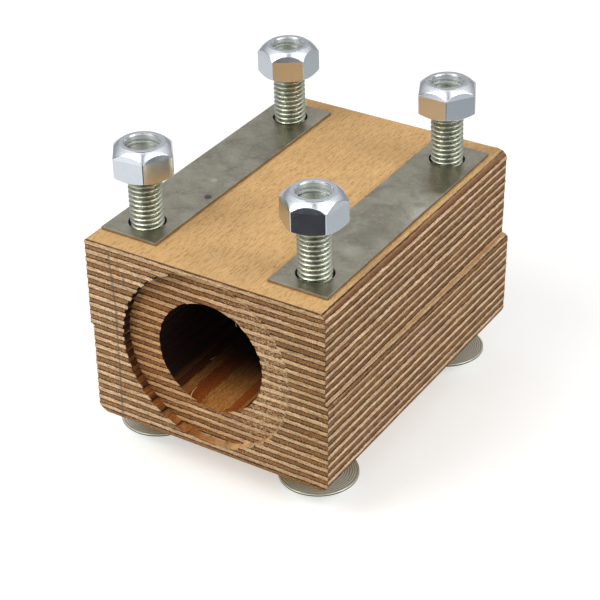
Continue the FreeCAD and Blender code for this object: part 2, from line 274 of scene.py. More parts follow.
def beechMaterial():
    b, ranges = beech, beech["ranges"]
    material, add, finish = newMaterial("laminatedBeech")
    place = add("coordinates")
    point = add("scaleVector", place, 1 / mm)
    x, y, z = add("split", point).node.outputs
    facing = add("absoluteVector", place.node.outputs["Normal"])
    faceX, faceY, faceZ = add("split", facing).node.outputs
    layer = add("attribute", attribute_name="layer")
    wall = add("attribute", out="Vector", attribute_name="wall")
    bore, recessWall, recessFloor = add("split", wall).node.outputs
    blots = {name: add("noise", point, 1 / size, detail) for name, (size, detail) in b["noises"].items()}

    # which veneer a point is in: the seams wave a little and fray at the cut fibres
    waved = add("MULTIPLY_ADD", blots["wave"], b["waveShift"], layer)
    frayed = add("MULTIPLY_ADD", blots["fray"], b["frayShift"], waved)
    level = add("SUBTRACT", frayed, (b["waveShift"] + b["frayShift"]) / 2)
    index = add("FLOOR", level)
    seam = add("PINGPONG", level, 0.5)
    odd = add("MODULO", index, 2.0)
    grain = add("SUBTRACT", 1.0, odd)
    tone = add("whiteNoise", index)

    # how far the face cuts across the fibres of its veneer
    cut = add("mix", grain, faceX, faceY)
    end = add("smoothRange", cut, *ranges["end"])

    # fibres and dashes: noises stretched along the grain and shifted from veneer to veneer
    shift = add("scaleVector", b["grainShift"], tone)
    grains = []
    for width, run, detail in (b["fibre"], b["dash"]):
        stretch = add("mixVector", grain, (1 / run, 1 / width, 1 / width), (1 / width, 1 / run, 1 / width))
        along = add("stretchVector", point, stretch, shift)
        grains.append(add("noise", along, 1.0, detail, b["grainRoughness"]))
    fibre, dash = grains
    streak = add("range", fibre, *ranges["streak"])
    pore = add("range", dash, *ranges["pore"])
    speckPlace = add("multiplyVector", point, [1 / size for size in b["speck"]])
    speck = add("noise", speckPlace, 1.0, b["speckDetail"])
    speckle = add("range", speck, *ranges["speckle"])

    # colours of a veneer's face, of long grain on a sawn side, and of cut ends
    tones = {}
    for name, share in (("face", streak), ("long", streak), ("frontEnd", speckle), ("sideEnd", speckle)):
        tones[name] = add("mixColor", share, b[name + "Deep"], b[name + "Pale"])
    lying = add("range", faceZ, *ranges["lying"])
    flat = add("SUBTRACT", lying, bore, use_clamp=True)
    pale = add("mixColor", flat, tones["long"], tones["face"])
    pored = add("mixColor", pore, pale, b["pore"])
    sideways = add("range", faceX, *ranges["sideways"])
    ends = add("mixColor", sideways, tones["frontEnd"], tones["sideEnd"])
    isRed = add("GREATER_THAN", index, b["redFrom"])
    redShare = add("MULTIPLY", isRed, b["redShare"])
    redEnds = add("mixColor", redShare, ends, b["redEnd"])
    wood = add("mixColor", end, pored, redEnds)

    # each veneer has its own depth of colour, and soft patches and fine grit run over all
    depth = add("MULTIPLY_ADD", tone, *b["veneerDepth"])
    soft = add("MULTIPLY_ADD", blots["patch"], *b["patchDepth"])
    grit = add("range", blots["grit"], *ranges["grit"])
    deepened = add("MULTIPLY", depth, soft)
    gritty = add("MULTIPLY", deepened, grit)
    strength = add("mix", flat, gritty, deepened)
    toned = add("scaleVector", wood, strength)

    # glue lines of uneven width
    glueWidth = add("range", blots["ooze"], *ranges["glue"])
    core = add("MULTIPLY", glueWidth, b["glueCore"])
    line = add("range", seam, glueWidth, core)
    broken = add("range", speck, *ranges["broken"])
    glued = add("MULTIPLY", line, broken)
    boreLeft = add("MULTIPLY_ADD", bore, b["boreGlue"] - 1, 1.0)
    wallLeft = add("MULTIPLY_ADD", recessWall, b["wallGlue"] - 1, boreLeft)
    upright = add("between", lying, 1.0, b["lyingGlue"])
    standing = add("MULTIPLY", glued, upright)
    glue = add("MULTIPLY", standing, wallLeft)
    color = add("mixColor", glue, toned, b["glue"])

    # painted shade high in the bore and away from its mouths, on the front towards the right, and, with
    # scorch, on the left of the recess wall; oil on the recess floor
    boreLow = add("mixColor", odd, b["boreAlong"], b["boreAcross"])
    low = add("range", z, *ranges["boreLow"])
    fromMiddle = add("ABSOLUTE", y)
    mouth = add("smoothRange", fromMiddle, *ranges["mouth"])
    litBore = add("MULTIPLY", low, mouth)
    boreTone = add("mixColor", litBore, b["boreShade"], boreLow)
    # scorch and painted shade on the left of the recess wall, darkest high up, where the wall faces away from
    # the light
    burnt = add("range", x, *ranges["burnt"])
    burntHigh = add("range", z, *ranges["burntHigh"])
    scorchShade = add("mixColor", burntHigh, b["scorchShadePale"], b["scorchShade"])
    scorchShadeWall = add("MULTIPLY", burnt, recessWall)
    soaked = add("range", x, *ranges["soaked"])
    soakedFloor = add("MULTIPLY", soaked, recessFloor)
    # painted shade on the front, darker towards the right
    rightward = add("range", x, *ranges["rightward"])
    outside = add("SUBTRACT", faceY, recessFloor)
    shadedFront = add("MULTIPLY", rightward, outside, use_clamp=True)
    for share, tint in ((bore, boreTone), (scorchShadeWall, scorchShade),
                        (soakedFloor, b["floorOil"]), (shadedFront, b["frontShade"])):
        color = add("mixColor", share, color, tint, blend_type="MULTIPLY")

    # torn pale flecks on the right of the recess floor
    fleckNoise = add("noise", point, 1 / b["fleckSize"], *b["fleckNoise"])
    fleck = add("range", fleckNoise, *ranges["fleck"])
    torn = add("range", x, *ranges["torn"])
    tornFloor = add("MULTIPLY", torn, recessFloor)
    fleckShare = add("MULTIPLY", fleck, tornFloor)
    color = add("mixColor", fleckShare, color, b["fleck"])

    # pencil lines down the front, and one small pit beside the right edge
    front = add("LESS_THAN", y, b["frontY"])
    half = b["pencilWidth"] / 2
    for startX, slope, lowZ, highZ in b["pencilLines"]:
        lean = add("MULTIPLY_ADD", z, slope, startX)
        away = add("SUBTRACT", x, lean)
        gap = add("ABSOLUTE", away)
        mark = add("range", gap, half, half / 3, 0.0, b["pencilShare"])
        inside = add("COMPARE", z, (lowZ + highZ) / 2, (highZ - lowZ) / 2)
        drawn = add("MULTIPLY", mark, inside)
        share = add("MULTIPLY", drawn, front)
        color = add("mixColor", share, color, b["pencil"])
    pitAway = add("distance", point, b["pitPlace"])
    pit = add("range", pitAway, *ranges["pit"])
    color = add("mixColor", pit, color, b["pit"])

    rough = add("between", end, *b["roughness"])
    surface = add("mix", end, fibre, speck)
    sunk = add("SUBTRACT", surface, line)
    bump = add("bump", b["bump"], b["bumpDepth"] * mm, sunk)
    finish({"Base Color": color, "Roughness": rough, "Normal": bump,
            "IOR": b["ior"], "Specular IOR Level": b["specular"]})
    return material


# Torn beech fibres: bare wood without oil, thin and pale
fibreFinish = {"deep": "#c99f68", "pale": "#efdcb4", "patch": 1.5, "detail": 1.0, "roughness": 0.7}


def fibreMaterial():
    f = fibreFinish
    material, add, finish = newMaterial("tornBeechFibre")
    patch = add("noise", add("coordinates"), 1 / (f["patch"] * mm), f["detail"])
    color = add("mixColor", patch, f["deep"], f["pale"])
    finish({"Base Color": color, "Roughness": f["roughness"]})
    return material


# Cold-rolled strip steel, oiled mill finish: dull grey, faintly mottled, with handling stains, plus a painted
# shade and a painted glint on the right strip
stripFinish = {
    "bare": "#aeab9c", "dark": "#908a7d", "worn": "#c2beb0",
    "mottle": 7.0, "mottleNoise": (4.0, 0.6, 0.6),  # detail, roughness and distortion
    "speck": 0.9, "speckDetail": 2.0,
    "shade": (0.3, 0.7), "wear": (0.5, 0.8, 0.0, 0.5), "roughness": (0.3, 0.7, 0.27, 0.4),
    "bump": 0.25, "bumpDepth": 0.02,
    "markFade": (1.4, 0.9),  # where a mark begins and where it is full, in its own size
    "marks": (  # x, y, size, colour, share
        (-21.9, -18.5, 1.5, "#3c3b40", 0.8), (-26.2, -8.9, 1.6, "#d2d1ca", 0.6),
        # the first mark on this line is painted shade on the right strip, the second a painted glint
        (30.0, -14.0, 9.0, "#7d7a70", 0.35), (29.9, -23.9, 4.5, "#c4c2b8", 0.4),
        (20.3, 4.5, 2.5, "#bfbdb3", 0.4), (33.7, 9.0, 2.5, "#6d6a62", 0.4)),
    "topZ": 30.0,
}


def stripMaterial():
    s = stripFinish
    material, add, finish = newMaterial("millSteel")
    point = add("scaleVector", add("coordinates"), 1 / mm)
    mottle = add("noise", point, 1 / s["mottle"], *s["mottleNoise"])
    speck = add("noise", point, 1 / s["speck"], s["speckDetail"])
    shade = add("range", mottle, *s["shade"])
    base = add("mixColor", shade, s["dark"], s["bare"])
    wear = add("range", speck, *s["wear"])
    color = add("mixColor", wear, base, s["worn"])
    for markX, markY, size, tint, share in s["marks"]:
        away = add("distance", point, (markX, markY, s["topZ"]))
        wobble = add("MULTIPLY_ADD", mottle, size, away)
        start, full = (size * fade for fade in s["markFade"])
        near = add("range", wobble, start, full, 0.0, share)
        color = add("mixColor", near, color, tint)
    rough = add("range", mottle, *s["roughness"])
    bump = add("bump", s["bump"], s["bumpDepth"] * mm, speck)
    finish({"Base Color": color, "Roughness": rough, "Normal": bump, "Metallic": 1.0})
    return material


# Zinc-plated bolts with a pale yellow passivation: soft shine, green-yellow cast, painted shade in the thread
# roots, the head's ring grooves and below its rim; the heads are duller and greyer, as forged, and painted
# pale, partly as painted light against the block's shadow
boltFinish = {
    "deep": "#b2b6a1", "pale": "#dee2d1", "rootShade": "#2f3028", "rootShadeShare": 0.5,
    # pale head colours: the forged finish, lifted as painted light against the shade under the block
    "headDeep": "#c6cdc4", "headPale": "#f6faf4",
    "cloud": 2.2, "cloudDetail": 3.0, "grit": 0.5, "gritDetail": 2.0,
    "roughness": (0.22, 0.36), "dullRoughness": 0.12, "dullMetal": 0.4, "bump": 0.2, "bumpDepth": 0.02,
}


def boltMaterial():
    f = boltFinish
    material, add, finish = newMaterial("yellowZincPlate")
    place = add("coordinates")
    cloud = add("noise", place, 1 / (f["cloud"] * mm), f["cloudDetail"])
    grit = add("noise", place, 1 / (f["grit"] * mm), f["gritDetail"])
    groove = add("attribute", attribute_name="groove")
    dull = add("attribute", attribute_name="dull")
    plate = add("mixColor", cloud, f["deep"], f["pale"])
    head = add("mixColor", grit, f["headDeep"], f["headPale"])
    both = add("mixColor", dull, plate, head)
    # painted shade: 'groove' darkens the thread roots, the ring grooves and the band below the rim, and also
    # the bolt's end
    share = add("MULTIPLY", groove, f["rootShadeShare"])
    color = add("mixColor", share, both, f["rootShade"])
    sheen = add("between", cloud, *f["roughness"])
    rough = add("MULTIPLY_ADD", dull, f["dullRoughness"], sheen)
    metal = add("MULTIPLY_ADD", dull, f["dullMetal"] - 1, 1.0)
    bump = add("bump", f["bump"], f["bumpDepth"] * mm, grit)
    finish({"Base Color": color, "Roughness": rough, "Metallic": metal, "Normal": bump})
    return material


# Bright zinc plate on the nuts: cold-formed, smooth, bluish white, mirror-like with a fine orange peel
nutFinish = {
    "deep": "#c4cbd5", "pale": "#e6e9ee", "inside": "#d8dcde", "insideMetal": 0.6, "insideRoughness": 0.15,
    "peel": 0.45, "peelDetail": 2.0, "roughness": (0.12, 0.26), "bump": 0.14, "bumpDepth": 0.02,
}


def nutMaterial():
    f = nutFinish
    material, add, finish = newMaterial("brightZincPlate")
    peel = add("noise", add("coordinates"), 1 / (f["peel"] * mm), f["peelDetail"])
    inside = add("attribute", attribute_name="inside")
    plate = add("mixColor", peel, f["deep"], f["pale"])
    color = add("mixColor", inside, plate, f["inside"])
    sheen = add("between", peel, *f["roughness"])
    rough = add("MULTIPLY_ADD", inside, f["insideRoughness"], sheen)
    metal = add("MULTIPLY_ADD", inside, f["insideMetal"] - 1, 1.0)
    bump = add("bump", f["bump"], f["bumpDepth"] * mm, peel)
    finish({"Base Color": color, "Roughness": rough, "Metallic": metal, "Normal": bump})
    return material


beechLook = beechMaterial()
fibreLook = fibreMaterial()
stripLook = stripMaterial()
boltLook = boltMaterial()
nutLook = nutMaterial()
print("materials made")

# The two halves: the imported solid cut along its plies, each ply then set in or out by a hair
halves = {
    "across": {  # mid-heights of the veneers whose grain runs from left to right
        "upper_half": (27.9, 25.1, 22.3, 19.4, 16.6, 13.4, 10.1, 7.2, 4.3, 1.5),
        "lower_half": (-1.3, -4.0, -6.9, -9.8, -13.1, -16.1, -19.4, -22.2, -25.1, -28.0),
    },
    "firstLayer": {"upper_half": 100.0, "lower_half": 0.0},  # so that no veneer is alike in both halves
    "outerShare": 0.6,  # how much of the outermost veneers is left at the flat faces
    "acrossThickness": 1.55, "glueLine": 0.24, "thicknessSpread": 0.12,
    "cell": 3.0,  # spacing of the cuts along the block, so that a ply can wander
    "cutNear": 0.00001,  # corners this close to a cut are left on it
    "wander": 0.11, "wanderRun": 9.0, "wanderFade": 1.0,  # no wander at the flat faces
    "roughRun": 1.25, "roughOuter": 0.04, "roughBored": 0.12,
    "stepSpread": 0.07,
    "steps": {  # how far the across plies and the along plies stand out of each wall
        "front": (-0.01, -0.1), "back": (-0.01, -0.1), "left": (0.0, -0.2), "right": (-0.14, 0.0),
        "recessFloor": (0.0, -0.1), "recessWall": (0.24, -0.26), "bore": (0.06, -0.06),
    },
    "boreRadius": 17.5, "recessRadius": 28.0, "frontY": -55.0, "floorY": -52.0, "backY": 53.0, "sideX": 34.0,
    "near": 0.5, "aslant": 0.3, "straight": 0.8,  # how near a wall is, and how far a face looks its way
    "flatGap": 0.01, "sharpAngle": 22.0, "seed": 11,
}


def plyEdges(node):
    # heights at which one veneer ends and the next begins, from the bottom up
    rng = random.Random(halves["seed"] + len(node))
    edges = []
    for middle in halves["across"][node]:
        half = (halves["acrossThickness"] + rng.uniform(-1, 1) * halves["thicknessSpread"]) / 2
        edges += [middle - half, middle + half]
    return sorted(edges)


def layerAt(height, edges, low, high):
    # number of the veneer at a height, with the share of the way through it
    index = bisect.bisect(edges, height)
    if index == 0:
        return 1.0 - halves["outerShare"] * (edges[0] - height) / (edges[0] - low)
    if index == len(edges):
        return index + halves["outerShare"] * (height - edges[-1]) / (high - edges[-1])
    return index + (height - edges[index - 1]) / (edges[index] - edges[index - 1])


def wallOf(face):
    # which wall of the half a face belongs to, or None for the flat faces and the bolt holes
    h = halves
    middle = face.calc_center_median() / mm
    normal = face.normal
    radius = math.hypot(middle.x, middle.z)
    if abs(normal.y) < h["aslant"]:
        if abs(radius - h["boreRadius"]) < h["near"]:
            return "bore"
        if abs(radius - h["recessRadius"]) < h["near"] and middle.y < h["floorY"] + h["near"]:
            return "recessWall"
        if abs(normal.x) > h["aslant"] and abs(middle.x) > h["sideX"]:
            return "right" if middle.x > 0 else "left"
        return None
    if abs(normal.y) < h["straight"]:
        return None
    if middle.y > h["backY"] - h["near"]:
        return "back"
    return "front" if middle.y < h["frontY"] + h["near"] else "recessFloor"


def makeHalf(node, body):
    h = halves
    bm = packedCopy(node)
    edges = plyEdges(node)
    low, high = (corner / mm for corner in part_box(node))
    line = h["glueLine"] / 2
    cuts = [(Vector((0, 0, e + s)), (0, 0, 1)) for e in edges for s in (-line, line)]
    for axis in (0, 1):
        direction = Vector([1.0 if i == axis else 0.0 for i in range(3)])
        count = int((high[axis] - low[axis]) / h["cell"])
        for i in range(1, count):
            cuts.append((direction * (low[axis] + (high[axis] - low[axis]) * i / count), direction))
    for place, direction in cuts:
        bmesh.ops.bisect_plane(bm, geom=bm.verts[:] + bm.edges[:] + bm.faces[:], dist=h["cutNear"] * mm,
                               plane_co=place * mm, plane_no=direction)
    bm.normal_update()
    bm.faces.index_update()
    walls = [wallOf(face) for face in bm.faces]

    layer = bm.verts.layers.float.new("layer")
    for vert in bm.verts:
        vert[layer] = h["firstLayer"][node] + layerAt(vert.co.z / mm, edges, low.z, high.z)
    wallLayer = bm.faces.layers.float_vector.new("wall")
    oiledWalls = ("bore", "recessWall", "recessFloor")
    for face, wall in zip(bm.faces, walls):
        face[wallLayer] = Vector([1.0 if wall == name else 0.0 for name in oiledWalls])

    rng = random.Random(h["seed"] * len(node))
    spread = {wall: [rng.uniform(-1, 1) * h["stepSpread"] for i in range(len(edges) + 1)]
              for wall in h["steps"]}
    moves = []
    for vert in bm.verts:
        place = vert.co / mm
        index = bisect.bisect(edges, place.z)
        normals = {}
        for face in vert.link_faces:
            wall = walls[face.index]
            if wall:
                normals[wall] = normals.get(wall, Vector()) + face.normal
        move = Vector()
        rough = noise.noise(place / h["roughRun"])
        for wall, normal in normals.items():
            step = h["steps"][wall][(index + 1) % 2] + spread[wall][index]
            bored = wall in ("bore", "recessWall")
            step = step + rough * h["roughBored"] if bored else min(step + rough * h["roughOuter"], 0.0)
            move += normal.normalized() * step
        margin = min(place.z - low.z, high.z - place.z, h["wanderFade"])
        if margin > h["flatGap"] and normals:
            move.z += noise.noise(place / h["wanderRun"]) * h["wander"] * margin
        moves.append(move)
    for vert, move in zip(bm.verts, moves):
        vert.co += move * mm
        vert.co.y = min(max(vert.co.y, low.y * mm), high.y * mm)  # no ply stands out past the ends
    mesh = meshFrom(bm, node + "Plies", h["sharpAngle"])
    piece = addObject(node + "Plies", mesh, beechLook)
    settle(piece, body, "laminated_beech", node)
    print(node, "cut into", len(edges) + 1, "plies,", len(mesh.polygons), "faces")


makeHalf("upper_half", "cap")
makeHalf("lower_half", "base")

# The strips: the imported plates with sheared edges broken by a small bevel
stripShape = {"edge": 0.14, "edgeSteps": 2, "edgeRound": 0.5,
              "flatAngle": 1.0, "edgeAngle": 40.0, "sharpAngle": 15.0}


def makeStrip(node):
    s = stripShape
    bm = packedCopy(node)
    bmesh.ops.dissolve_limit(bm, angle_limit=math.radians(s["flatAngle"]), verts=bm.verts, edges=bm.edges)
    sharp = [e for e in bm.edges if e.is_manifold and e.calc_face_angle() > math.radians(s["edgeAngle"])]
    bmesh.ops.bevel(bm, geom=sharp, offset=s["edge"] * mm, segments=s["edgeSteps"], profile=s["edgeRound"],
                    affect="EDGES")
    piece = addObject(node + "Plate", meshFrom(bm, node + "Plate", s["sharpAngle"]), stripLook)
    settle(piece, "cap", "strip_steel", node)
    print(node, "bevelled")


makeStrip("left_strip")
makeStrip("right_strip")

# The four fastenings: each bolt leans a little, because the halves lie out of line
fastening = {
    "places": {"front_left": (-29.0, -39.0), "front_right": (27.0, -39.0),
               "back_left": (-29.0, 39.0), "back_right": (27.0, 39.0)},
    "leans": {"front_left": 0.6, "front_right": 0.9, "back_left": 1.3, "back_right": 2.2},
    "standOut": {"front_left": 2.4, "front_right": 2.6, "back_left": 2.3, "back_right": 3.0},
    "stripTop": 30.0, "clampHeight": 60.0, "neckHalf": 5.0, "neck": 7.0, "length": 90.0, "nutHeight": 9.6,
}


def headReach(corner):
    # from the top of the strip down the bolt to the seat of its head
    lean = math.radians(fastening["leans"][corner])
    neckReach = (fastening["clampHeight"] + fastening["neckHalf"] * math.sin(lean)) / math.cos(lean)
    return neckReach + fastening["neck"]


def onBolt(corner, reach):
    # stands a piece on a bolt's axis, that far up from the top of the strip
    x, y = fastening["places"][corner]
    foot = Matrix.Translation(Vector((x, y, fastening["stripTop"])) * mm)
    lean = Matrix.Rotation(-math.radians(fastening["leans"][corner]), 4, "Y")
    return foot @ lean @ Matrix.Translation((0.0, 0.0, reach * mm))


# The bolts: mushroom head and square neck in mesh code, rolled thread from a node tree; heights from the seat
boltShape = {
    "radius": 4.97, "threadDepth": 0.85, "pitch": 1.5, "threadStart": 64.0,
    "threadRows": 270, "threadSides": 36, "flankSlope": -2.8, "flankRise": 1.2,
    "pointBevel": 0.9, "neckCorner": 6.5, "neckBreak": 0.2, "shank": 4.72, "lap": 0.3, "threadLap": 0.4,
    "headRadius": 11.98, "headRim": 0.65, "headHeight": 4.96, "domeSteps": 19, "domeTip": 0.25, "sides": 64,
    "rimRound": 0.22, "rimSteps": 5, "rimLine": 0.3, "rimGap": 0.01, "rimDull": 0.2,
    "rimShade": 2.0, "rimShadeWidth": 2.5,  # painted shade below the rim's upper edge
    "ringStart": 4.0, "ringMargin": 0.1, "ringPitch": 0.7, "ringSteps": 6, "ringDepth": 0.06, "ringShade": 1.2,
    "headSharp": 25.0, "threadSharp": 35.0,
    "turns": {"front_left": 0.1, "front_right": 0.62, "back_left": 0.35, "back_right": 0.8},
}

threadSteps = (  # name, operation, first, second
    ("length", "SUBTRACT", "End", "Start"), ("sum", "ADD", "Start", "End"),
    ("middle", "MULTIPLY", "sum", 0.5), ("height", "ADD", "z", "middle"), ("around", "ARCTAN2", "y", "x"),
    ("share", "DIVIDE", "around", 2 * math.pi), ("turned", "ADD", "share", "Turn"),
    ("laps", "DIVIDE", "height", "Pitch"), ("climb", "SUBTRACT", "laps", "turned"),
    ("flank", "PINGPONG", "climb", 0.5), ("crest", "MULTIPLY", "flank", boltShape["flankSlope"]),
    ("groove", "ADD", "crest", boltShape["flankRise"]), ("lowest", "MAXIMUM", "groove", 0.0),
    ("cut", "MINIMUM", "lowest", 1.0), ("deep", "MULTIPLY", "cut", "Depth"),
    ("body", "SUBTRACT", "Radius", "deep"),
    ("nose", "SUBTRACT", "Radius", "Bevel"), ("left", "SUBTRACT", "End", "height"),
    ("tip", "ADD", "nose", "left"), ("radius", "MINIMUM", "body", "tip"),
    ("reach", "DIVIDE", "left", "Bevel"), ("cutEnd", "SUBTRACT", 1.0, "reach"),
    ("shade", "MAXIMUM", "cut", "cutEnd"),
    ("newX", "MULTIPLY", "x", "radius"), ("newY", "MULTIPLY", "y", "radius"),
)


def boltThreadTree():
    sizes = ("Radius", "Depth", "Pitch", "Start", "End", "Bevel", "Turn")
    tree, add, given = newTree("rolledThread", sizes, ("Rows", "Sides"))
    known = {socket.name: socket for socket in given if socket.name}
    known["x"], known["y"], known["z"] = add("split", add("position")).node.outputs
    for name, operation, first, second in threadSteps:
        known[name] = add(operation, known.get(first, first), known.get(second, second))
    tube = add("cylinder", given["Sides"], given["Rows"], 1.0, known["length"])
    moved = add("combine", known["newX"], known["newY"], known["height"])
    # the thread's depth, and the last bit before its end, are stored as 'groove', which the finish darkens as
    # painted shade
    marked = add("storeFloat", tube, "groove", known["shade"])
    placed = add("setPosition", marked, moved)
    joined = add("join", given["Geometry"])
    tree.links.new(placed, joined.node.inputs[0])
    closeTree(add, joined, given["Finish"])
    return tree


def turned(radius, height, corner=None):
    # one ring: round, or a rounded square when a corner radius is given
    ring = []
    for i in range(boltShape["sides"]):
        angle = 2 * math.pi * i / boltShape["sides"]
        c, s = math.cos(angle), math.sin(angle)
        r = min(radius / max(abs(c), abs(s)), corner) if corner else radius
        ring.append(Vector((r * c, r * s, height)) * mm)
    return ring


def ringWave(radius):
    # the fine rings on top of the head: 0 on a ring, 2 midway between two
    return 1 + math.cos(2 * math.pi * radius / boltShape["ringPitch"])


def headRings():
    b = boltShape
    rings = []
    r = b["ringStart"]
    while r < b["headRadius"] - b["rimRound"] - b["ringMargin"]:
        rings.append(turned(r, -b["ringDepth"] * ringWave(r)))
        r += b["ringPitch"] / b["ringSteps"]
    for i in range(b["rimSteps"]):
        t = math.pi / 2 * i / (b["rimSteps"] - 1)
        r = b["headRadius"] - b["rimRound"] * (1 - math.sin(t))
        rings.append(turned(r, -b["rimRound"] * (1 - math.cos(t))))
    rings += [turned(b["headRadius"], -b["rimLine"]), turned(b["headRadius"], -b["headRim"])]
    drop = b["headHeight"] - b["headRim"]
    ball = (b["headRadius"] ** 2 + drop ** 2) / (2 * drop)
    for i in range(1, b["domeSteps"]):
        r = b["headRadius"] * (1 - i / b["domeSteps"])
        rings.append(turned(r, ball - b["headHeight"] - math.sqrt(ball ** 2 - r ** 2)))
    rings.append(turned(b["domeTip"], -b["headHeight"]))
    return rings[::-1]


def neckRings():
    b = boltShape
    side, top = fastening["neckHalf"], fastening["neck"]
    return [turned(side, -b["lap"], b["neckCorner"]), turned(side, top - b["neckBreak"], b["neckCorner"]),
            turned(side - b["neckBreak"], top, b["neckCorner"] - b["neckBreak"]), turned(b["shank"], top),
            turned(b["shank"], top + b["lap"]), turned(b["shank"], b["threadStart"] + b["threadLap"])]


def makeBolt(corner, tree):
    b = boltShape
    node = corner + "_bolt"
    bm = bmesh.new()
    dull = bm.verts.layers.float.new("dull")
    groove = bm.verts.layers.float.new("groove")
    addRings(bm, headRings(), True)
    for vert in bm.verts:
        radius = math.hypot(vert.co.x, vert.co.y) / mm
        vert[dull] = 1.0
        # painted shade on the head: dark below the rim's upper edge and in the grooves between the rings
        if vert.co.z / mm < -b["rimRound"] - b["rimGap"]:
            inward = (b["headRadius"] - radius) / b["rimShadeWidth"]
            vert[groove] = b["rimShade"] * max(1 - inward, 0.0)
        elif radius > b["headRadius"] - b["rimRound"]:
            vert[dull] = b["rimDull"]
        else:
            vert[groove] = b["ringShade"] * ringWave(radius) / 2
    addRings(bm, neckRings(), True)
    bmesh.ops.recalc_face_normals(bm, faces=bm.faces)
    piece = addObject(node + "Threaded", meshFrom(bm, node, b["headSharp"]), boltLook)
    lengths = {"Radius": b["radius"], "Depth": b["threadDepth"], "Pitch": b["pitch"],
               "Start": b["threadStart"], "End": fastening["length"], "Bevel": b["pointBevel"]}
    values = {name: length * mm for name, length in lengths.items()}
    values.update({"Turn": b["turns"][corner], "Rows": b["threadRows"], "Sides": b["threadSides"]})
    values["Finish"] = boltLook
    bakeNodes(piece, tree, values, b["threadSharp"])
    piece.data.transform(onBolt(corner, -headReach(corner)))
    settle(piece, "base", "bolt_zinc", node)


threadTree = boltThreadTree()
for corner in fastening["places"]:
    makeBolt(corner, threadTree)
print("bolts threaded")

# The lock nuts: hexagon, cone and threaded hole as one shell, column by column round the axis
nutShape = {
    "sides": 6, "flats": 16.8, "cornerHeight": 6.7, "ring": 6.6, "mouth": 5.2,
    "bulge": 0.4, "draft": 10.5,  # the pressed top is rounded, and the flats draw in above the corners
    "ringStep": 0.25, "coneSteps": 8, "coneStart": 0.03, "meetStep": 0.002, "topGap": 0.01,
    "threadCrest": 5.04, "threadRoot": 5.19, "pitch": 1.5, "threadRows": 70,
    "crestFlat": 0.14, "flankShare": 0.72,
    "cornerBreak": 0.12, "foot": 8.15, "footHeight": 0.9, "bevel": 0.08, "lip": 0.16,
    "threadIn": 0.9,  # the thread runs out over this much of each end
    "turns": {"front_left": 5.0, "front_right": 20.0, "back_left": 30.0, "back_right": 55.5},
    "columns": (-30.0, -29.2, -27.0, -22.0, -15.0, -7.5, 0.0, 7.5, 15.0, 22.0, 27.0, 29.2),
    "sharpAngle": 8.0,
}


def nutCorner():
    return nutShape["flats"] / 2 / math.cos(math.pi / nutShape["sides"])


def pressedTop(share):
    # radius and height on the rounded cone, from the corners in to the ring round the hole
    n = nutShape
    rise = fastening["nutHeight"] - n["ringStep"] - n["cornerHeight"]
    return (nutCorner() + (n["ring"] - nutCorner()) * share,
            n["cornerHeight"] + rise * share + n["bulge"] * 4 * share * (1 - share))


def nutColumn(angleInFlat, threadTurn):
    # radius and height of each point of one column, from the bottom mouth round the outside into the hole
    n = nutShape
    height = fastening["nutHeight"] - n["topGap"]
    slant = math.cos(math.radians(angleInFlat))
    flat = min(n["flats"] / 2 / slant, nutCorner() - n["cornerBreak"])
    draft = math.tan(math.radians(n["draft"])) / slant
    share = 0.0
    while pressedTop(share)[0] > flat - max(pressedTop(share)[1] - n["cornerHeight"], 0.0) * draft:
        share += n["meetStep"]
    meet = pressedTop(share)[1]
    bevel = n["bevel"]
    hold = 3 * bevel  # keeps the shading of the flats flat
    middle = min(n["cornerHeight"], meet - hold)
    foot = (flat - n["foot"]) / (nutCorner() - n["foot"]) * n["footHeight"]
    column = [(n["mouth"], 0.0), (n["foot"], 0.0), (flat - bevel / 2, foot - bevel / 4), (flat, foot + bevel),
              (flat, foot + hold), (flat, middle - hold), (flat, middle),
              (flat - max(meet - bevel - n["cornerHeight"], 0.0) * draft, meet - bevel)]
    start = share + n["coneStart"]
    column += [pressedTop(start + (1.0 - start) * i / n["coneSteps"]) for i in range(n["coneSteps"] + 1)]
    lip = n["lip"]
    side, drop = lip / 5, lip / 4  # the broken edges of the ring
    column += [(n["ring"] - side, height - drop), (n["ring"] - lip, height), (n["mouth"] + lip, height),
               (n["mouth"] + side, height - drop), (n["mouth"], height - lip)]
    low, high = lip * 3, height - lip * 3
    for i in range(n["threadRows"] + 1):
        z = high + (low - high) * i / n["threadRows"]
        phase = (z / n["pitch"] - threadTurn) % 1.0
        groove = min(max((abs(phase - 0.5) * 2 - n["crestFlat"]) / n["flankShare"], 0.0), 1.0)
        fade = min((high - z) / n["threadIn"], (z - low) / n["threadIn"], 1.0)
        depth = (n["threadRoot"] - n["threadCrest"]) * fade
        column.append((n["threadCrest"] + depth * (1 - groove), z))
    return column


def makeNut(corner):
    n = nutShape
    node = corner + "_nut"
    flatTurn = 360.0 / n["sides"]
    columns = []
    for flat in range(n["sides"]):
        for angleInFlat in n["columns"]:
            angle = math.radians(n["turns"][corner] + flatTurn / 2 + flatTurn * flat + angleInFlat)
            columns.append([Vector((r * math.cos(angle), r * math.sin(angle), z)) * mm
                            for r, z in nutColumn(angleInFlat, angle / (2 * math.pi))])
    bm = bmesh.new()
    addRings(bm, list(map(list, zip(*columns))), False, True)
    bmesh.ops.recalc_face_normals(bm, faces=bm.faces)
    inside = bm.verts.layers.float.new("inside")
    for vert in bm.verts:
        vert[inside] = 1.0 if math.hypot(vert.co.x, vert.co.y) < n["threadRoot"] * mm else 0.0
    piece = addObject(node + "Plated", meshFrom(bm, node, n["sharpAngle"]), nutLook)
    seat = fastening["length"] - headReach(corner) + fastening["standOut"][corner] - fastening["nutHeight"]
    piece.data.transform(onBolt(corner, seat))
    settle(piece, corner + "_lock_nut", "nut_zinc", node)


for corner in fastening["places"]:
    makeNut(corner)
print("nuts made")

